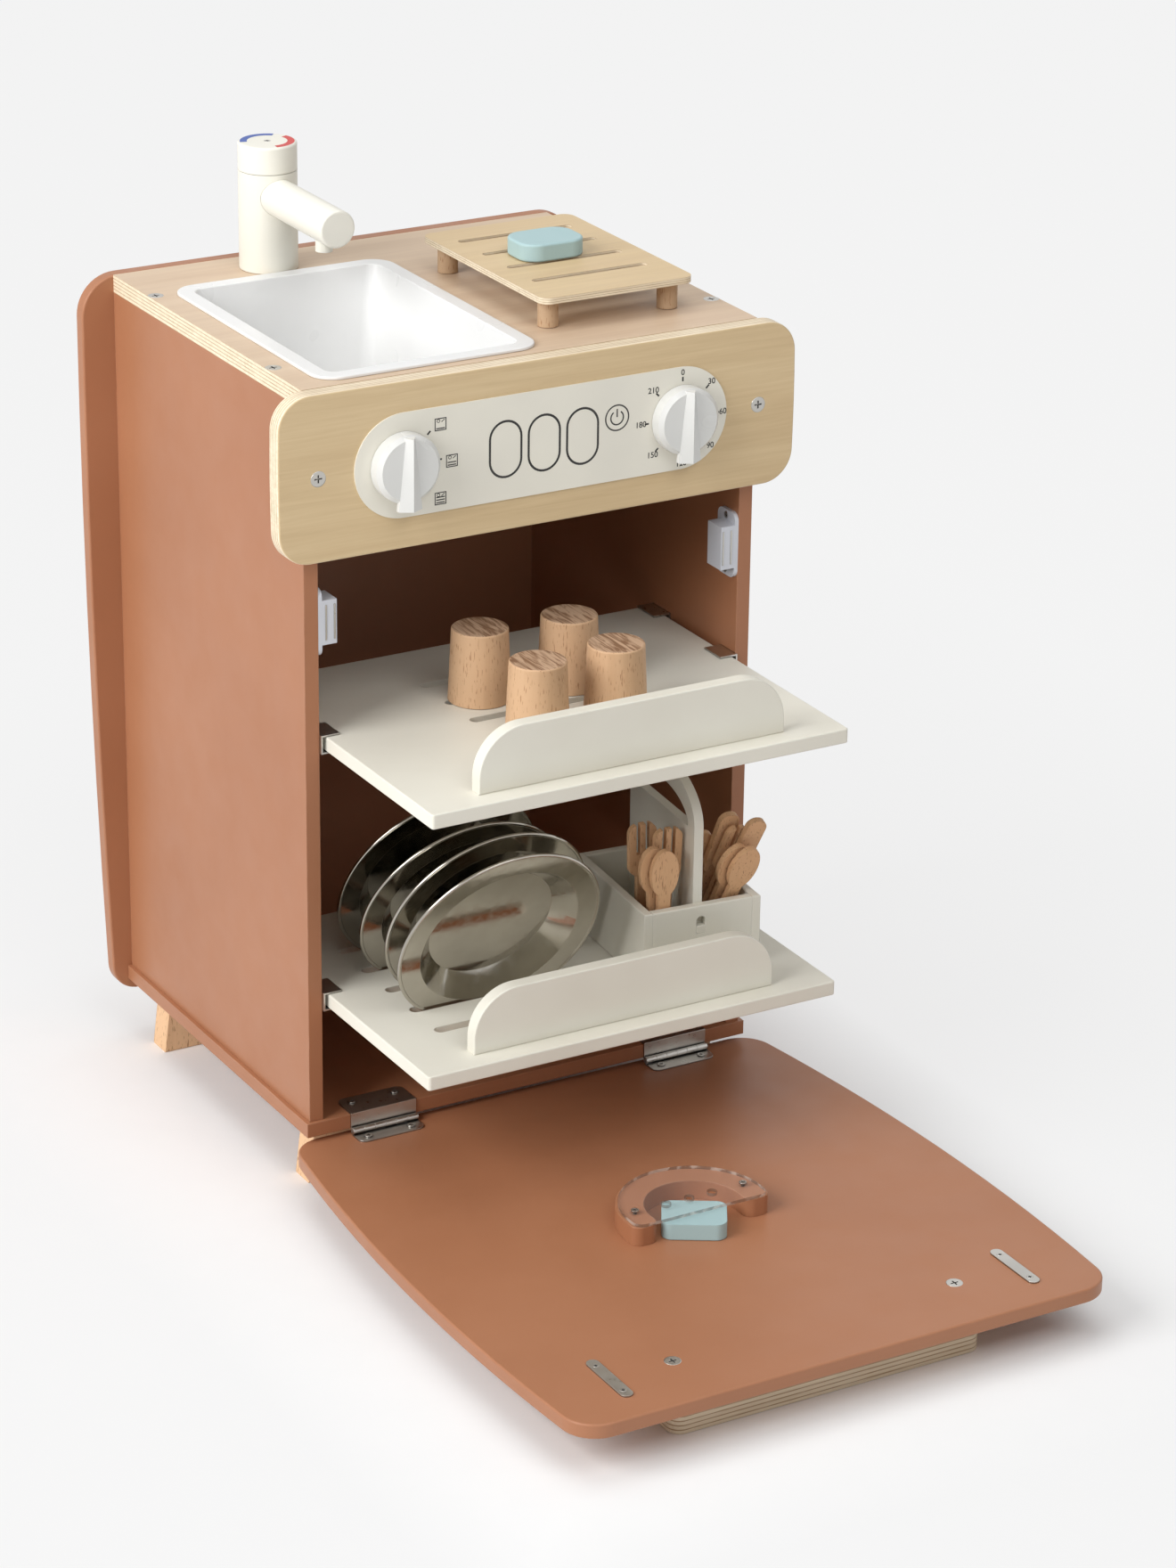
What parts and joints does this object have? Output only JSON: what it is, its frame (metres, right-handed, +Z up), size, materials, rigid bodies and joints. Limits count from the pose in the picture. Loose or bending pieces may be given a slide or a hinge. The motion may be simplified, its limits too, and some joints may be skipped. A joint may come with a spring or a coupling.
{
  "type": "toy dishwasher",
  "caption": "Wooden toy dishwasher with drop-down door, sliding shelves for cups and plates, sink, swivel tap, draining rack and turning dials.",
  "frame": {"origin": "on the floor, under the middle of the part's outline with its door open, midway between the side panels", "axes": "+Z up, the door opens towards -Y, +X to the right of someone who stands in front"},
  "size_m": [0.3608, 0.6356, 0.5875],
  "materials": {
    "terracotta_paint": "satin terracotta paint on fibreboard",
    "birch_plywood": "clear lacquer on light plywood",
    "cream_paint": "satin cream paint",
    "label_film": "matte printed film",
    "beech_wood": "bare turned and cut wood",
    "bright_zinc": "bright plated steel",
    "white_plastic": "smooth white",
    "blue_paint": "satin pale blue paint",
    "clear_acrylic": "clear polished sheet",
    "stainless_steel": "bright pressed steel"
  },
  "bodies": {
    "cabinet": {"left_side_panel": "terracotta_paint", "right_side_panel": "terracotta_paint", "bottom_panel": "terracotta_paint", "back_panel": "terracotta_paint", "worktop": "birch_plywood", "front_fascia": "birch_plywood", "control_label": "label_film", "feet": "beech_wood", "panel_screws": "bright_zinc", "magnet_catches": "white_plastic", "catch_poles": "bright_zinc", "hinge_fixed_leaves": "bright_zinc", "hinge_pins": "bright_zinc", "small_screws": "bright_zinc", "shelf_guides": "bright_zinc", "tap_pivot": "beech_wood"},
    "door": {"door_panel": "terracotta_paint", "door_handle": "birch_plywood", "handle_screws": "bright_zinc", "strike_plates": "bright_zinc", "hinge_moving_leaves": "bright_zinc", "door_screws": "bright_zinc", "dispenser_block": "terracotta_paint", "dispenser_cover": "clear_acrylic", "dispenser_screws": "bright_zinc"},
    "tablet": {"detergent_tablet": "blue_paint"},
    "left_dial": {"left_knob": "white_plastic"},
    "right_dial": {"right_knob": "white_plastic"},
    "tap": {"tap_column": "cream_paint", "tap_spout": "cream_paint", "tap_nozzle": "cream_paint"},
    "tap_lever": {"tap_handle": "cream_paint", "tap_handle_screw": "bright_zinc"},
    "sink": {"sink_basin": "white_plastic"},
    "rack": {"rack_top": "birch_plywood", "rack_legs": "beech_wood"},
    "soap": {"soap_block": "blue_paint"},
    "upper_tray": {"upper_shelf": "cream_paint", "upper_rail": "cream_paint"},
    "lower_tray": {"lower_shelf": "cream_paint", "lower_rail": "cream_paint"},
    "caddy": {"caddy_base": "cream_paint", "caddy_sides": "cream_paint", "caddy_ends": "cream_paint", "caddy_divider": "cream_paint", "caddy_screws": "bright_zinc"},
    "cup_body_1": {"cup_1": "beech_wood"},
    "plate_body_1": {"plate_1": "stainless_steel"},
    "cup_body_2": {"cup_2": "beech_wood"},
    "plate_body_2": {"plate_2": "stainless_steel"},
    "cup_body_3": {"cup_3": "beech_wood"},
    "plate_body_3": {"plate_3": "stainless_steel"},
    "cup_body_4": {"cup_4": "beech_wood"},
    "plate_body_4": {"plate_4": "stainless_steel"},
    "left_spoons_body": {"left_spoons": "beech_wood"},
    "left_forks_body": {"left_forks": "beech_wood"},
    "right_spoons_body": {"right_spoons": "beech_wood"},
    "right_fork_body": {"right_fork": "beech_wood"},
    "right_knives_body": {"right_knives": "beech_wood"}
  },
  "joints": [
    {"name": "door_hinge", "type": "hinge", "parent": "cabinet", "child": "door", "pos_m": [0, 0.04975, 0.04], "axis": [-1, 0, 0], "range_deg": [0, 91.1]},
    {"name": "tablet_slide", "type": "slide", "parent": "door", "child": "tablet", "axis": [0, -1, 0], "range_m": [0, 0.026]},
    {"name": "left_dial_turn", "type": "hinge", "parent": "cabinet", "child": "left_dial", "pos_m": [-0.0925, 0.04275, 0.459], "axis": [0, 1, 0], "range_deg": [0, 135]},
    {"name": "right_dial_turn", "type": "hinge", "parent": "cabinet", "child": "right_dial", "pos_m": [0.0925, 0.04275, 0.459], "axis": [0, 1, 0], "range_deg": [0, 315]},
    {"name": "tap_swivel", "type": "hinge", "parent": "cabinet", "child": "tap", "pos_m": [-0.059, 0.28125, 0.5093], "axis": [0, 0, 1], "range_deg": [-50, 40]},
    {"name": "tap_lever_turn", "type": "hinge", "parent": "tap", "child": "tap_lever", "pos_m": [-0.059, 0.28125, 0.5708], "axis": [0, 0, 1], "range_deg": [-90, 90]},
    {"name": "sink_lift", "type": "slide", "parent": "cabinet", "child": "sink", "axis": [0, 0, 1], "range_m": [0, 0.025]},
    {"name": "rack_lift", "type": "slide", "parent": "cabinet", "child": "rack", "axis": [0, 0, 1], "range_m": [0, 0.04]},
    {"name": "soap_lift", "type": "slide", "parent": "rack", "child": "soap", "axis": [0, 0, 1], "range_m": [0, 0.03]},
    {"name": "upper_shelf_slide", "type": "slide", "parent": "cabinet", "child": "upper_tray", "axis": [0, 1, 0], "range_m": [0, 0.137]},
    {"name": "lower_shelf_slide", "type": "slide", "parent": "cabinet", "child": "lower_tray", "axis": [0, 1, 0], "range_m": [0, 0.1325]},
    {"name": "caddy_lift", "type": "slide", "parent": "lower_tray", "child": "caddy", "axis": [0, 0, 1], "range_m": [0, 0.025]},
    {"name": "cup_lift_1", "type": "slide", "parent": "upper_tray", "child": "cup_body_1", "axis": [0, 0, 1], "range_m": [0, 0.04]},
    {"name": "cup_lift_2", "type": "slide", "parent": "upper_tray", "child": "cup_body_2", "axis": [0, 0, 1], "range_m": [0, 0.04]},
    {"name": "cup_lift_3", "type": "slide", "parent": "upper_tray", "child": "cup_body_3", "axis": [0, 0, 1], "range_m": [0, 0.04]},
    {"name": "cup_lift_4", "type": "slide", "parent": "upper_tray", "child": "cup_body_4", "axis": [0, 0, 1], "range_m": [0, 0.04]},
    {"name": "plate_lift_1", "type": "slide", "parent": "lower_tray", "child": "plate_body_1", "axis": [0, -0.3907, 0.9205], "range_m": [0, 0.035]},
    {"name": "plate_lift_2", "type": "slide", "parent": "lower_tray", "child": "plate_body_2", "axis": [0, -0.3907, 0.9205], "range_m": [0, 0.035]},
    {"name": "plate_lift_3", "type": "slide", "parent": "lower_tray", "child": "plate_body_3", "axis": [0, -0.4226, 0.9063], "range_m": [0, 0.035]},
    {"name": "plate_lift_4", "type": "slide", "parent": "lower_tray", "child": "plate_body_4", "axis": [0, -0.3907, 0.9205], "range_m": [0, 0.035]},
    {"name": "left_spoons_lift", "type": "slide", "parent": "caddy", "child": "left_spoons_body", "axis": [-0.0495, -0.0656, 0.9966], "range_m": [0, 0.025]},
    {"name": "left_forks_lift", "type": "slide", "parent": "caddy", "child": "left_forks_body", "axis": [-0.0322, -0.0672, 0.9972], "range_m": [0, 0.025]},
    {"name": "right_spoons_lift", "type": "slide", "parent": "caddy", "child": "right_spoons_body", "axis": [0.1091, -0.3495, 0.9305], "range_m": [0, 0.025]},
    {"name": "right_fork_lift", "type": "slide", "parent": "caddy", "child": "right_fork_body", "axis": [0.1436, -0.3507, 0.9254], "range_m": [0, 0.025]},
    {"name": "right_knives_lift", "type": "slide", "parent": "caddy", "child": "right_knives_body", "axis": [0.1436, -0.3507, 0.9254], "range_m": [0, 0.025]}
  ],
  "couplings": [
    {"joint": "upper_shelf_slide", "follows": "door_hinge", "m_per_rad": 0.08606},
    {"joint": "lower_shelf_slide", "follows": "door_hinge", "m_per_rad": 0.08323}
  ]
}
